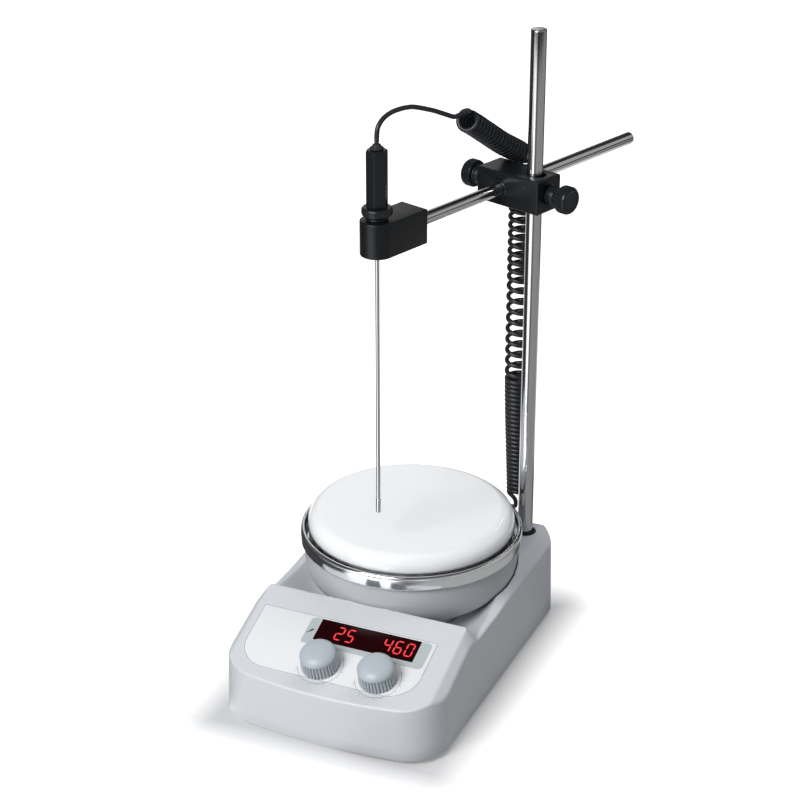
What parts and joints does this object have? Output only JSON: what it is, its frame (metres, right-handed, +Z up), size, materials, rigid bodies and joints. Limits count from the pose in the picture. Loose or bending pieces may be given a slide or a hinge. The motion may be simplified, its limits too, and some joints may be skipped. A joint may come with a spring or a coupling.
{
  "type": "heated magnetic stirrer",
  "caption": "Wedge-fronted housing carrying a round hot plate on a tapered bowl, with two knobs, a display and a rod stand that holds a temperature probe on a coiled lead.",
  "frame": {"origin": "middle of the pressed field in the base plate's underside", "axes": "+Z up, front panel towards -Y, support rod at the rear right (+X)"},
  "size_m": [0.1671, 0.3282, 0.4086],
  "materials": {
    "housing_grey": "light cool grey, fine satin moulding",
    "label_white": "near-white membrane, satin",
    "window_black": "dark red-black, gloss",
    "knob_grey": "blue-grey, satin",
    "ceramic_white": "white gloss glaze",
    "chrome": "polished",
    "steel": "bright drawn stainless",
    "zinc_plate": "plain sheet, satin",
    "mineral_wool": "pressed fibre pad",
    "motor_grey": "dark grey, satin",
    "magnet_grey": "plated, satin",
    "clamp_black": "black coated, satin",
    "black_satin": "black, satin",
    "black_rubber": "matt black",
    "board_green": "green lacquered board",
    "cable_black": "matt black jacket"
  },
  "bodies": {
    "base": {"base_plate": "zinc_plate", "base_screw_1": "steel", "base_screw_2": "steel", "base_screw_3": "steel", "base_screw_4": "steel", "bowl": "housing_grey", "capacitor": "black_satin", "control_board": "board_green", "display_module": "window_black", "display_window": "window_black", "foot_1": "black_rubber", "foot_2": "black_rubber", "foot_3": "black_rubber", "foot_4": "black_rubber", "heat_shield": "steel", "heater_insulation": "mineral_wool", "heating_element": "zinc_plate", "heating_plate": "ceramic_white", "housing_shell": "housing_grey", "lead_tail": "cable_black", "mains_inlet": "black_satin", "motor": "motor_grey", "motor_bracket": "zinc_plate", "panel_label": "label_white", "plate_pan": "steel", "plate_pillar_1": "steel", "plate_pillar_2": "steel", "plate_pillar_3": "steel", "plate_ring": "chrome", "power_board": "board_green", "rocker_bezel": "black_satin", "rod_bush": "steel", "sensor_plug": "black_rubber", "sensor_socket": "black_satin", "speed_pot": "zinc_plate", "temperature_pot": "zinc_plate", "transformer": "motor_grey"},
    "temperature_knob": {"temperature_knob": "knob_grey"},
    "speed_knob": {"speed_knob": "knob_grey"},
    "power_rocker": {"power_rocker": "black_satin"},
    "magnet_drive": {"magnet_yoke": "zinc_plate", "magnet_1": "magnet_grey", "magnet_2": "magnet_grey"},
    "support_rod": {"support_rod": "steel", "lead_coil_hanging": "cable_black"},
    "boss": {"boss_head": "clamp_black", "lead_coil_upper": "cable_black"},
    "arm_clamp_screw": {"arm_clamp_screw": "black_satin"},
    "rod_clamp_screw": {"rod_clamp_screw": "black_satin"},
    "cross_arm": {"cross_arm": "steel", "lead_fall": "cable_black"},
    "probe_holder": {"probe_holder": "clamp_black", "lead_rise": "cable_black"},
    "probe": {"probe_stem": "steel", "probe_collar": "black_satin", "probe_handle": "black_satin", "probe_gland": "black_rubber"}
  },
  "joints": [
    {"name": "temperature_knob_turn", "type": "hinge", "parent": "base", "child": "temperature_knob", "pos_m": [-0.009, -0.08827, 0.0422], "axis": [0, -0.3426, 0.9395], "range_deg": [-300, 0]},
    {"name": "speed_knob_turn", "type": "hinge", "parent": "base", "child": "speed_knob", "pos_m": [0.03, -0.08827, 0.0422], "axis": [0, -0.3426, 0.9395], "range_deg": [-223, 77]},
    {"name": "power_rocker_tilt", "type": "hinge", "parent": "base", "child": "power_rocker", "pos_m": [-0.075, -0.03, 0.022], "axis": [0, -1, 0], "range_deg": [0, 18]},
    {"name": "magnet_drive_spin", "type": "hinge", "parent": "base", "child": "magnet_drive", "pos_m": [0, 0.0316, 0.066], "axis": [0, 0, 1], "continuous": true},
    {"name": "rod_swivel", "type": "hinge", "parent": "base", "child": "support_rod", "pos_m": [0.0564, 0.0934, 0.2], "axis": [0, 0, 1], "range_deg": [-90, 60], "deforming": ["lead_tail"]},
    {"name": "boss_slide", "type": "slide", "parent": "support_rod", "child": "boss", "axis": [0, 0, 1], "range_m": [-0.018, 0.085], "deforming": ["lead_coil_hanging"]},
    {"name": "rod_clamp_screw_turn", "type": "hinge", "parent": "boss", "child": "rod_clamp_screw", "pos_m": [0.07538, 0.08709, 0.302], "axis": [0.9489, -0.3156, 0], "range_deg": [0, 360]},
    {"name": "arm_clamp_screw_turn", "type": "hinge", "parent": "boss", "child": "arm_clamp_screw", "pos_m": [0.0137, 0.1076, 0.302], "axis": [-0.9489, 0.3156, 0], "range_deg": [0, 360]},
    {"name": "arm_slide", "type": "slide", "parent": "boss", "child": "cross_arm", "axis": [0.3156, 0.9489, 0], "range_m": [-0.1, 0.07], "deforming": ["lead_coil_upper"]},
    {"name": "holder_roll", "type": "hinge", "parent": "cross_arm", "child": "probe_holder", "pos_m": [0.00738, 0.00432, 0.302], "axis": [0.3156, 0.9489, 0], "range_deg": [-35, 35], "deforming": ["lead_fall"]},
    {"name": "probe_slide", "type": "slide", "parent": "probe_holder", "child": "probe", "axis": [0, 0, 1], "range_m": [0, 0.06], "deforming": ["lead_rise"]}
  ]
}
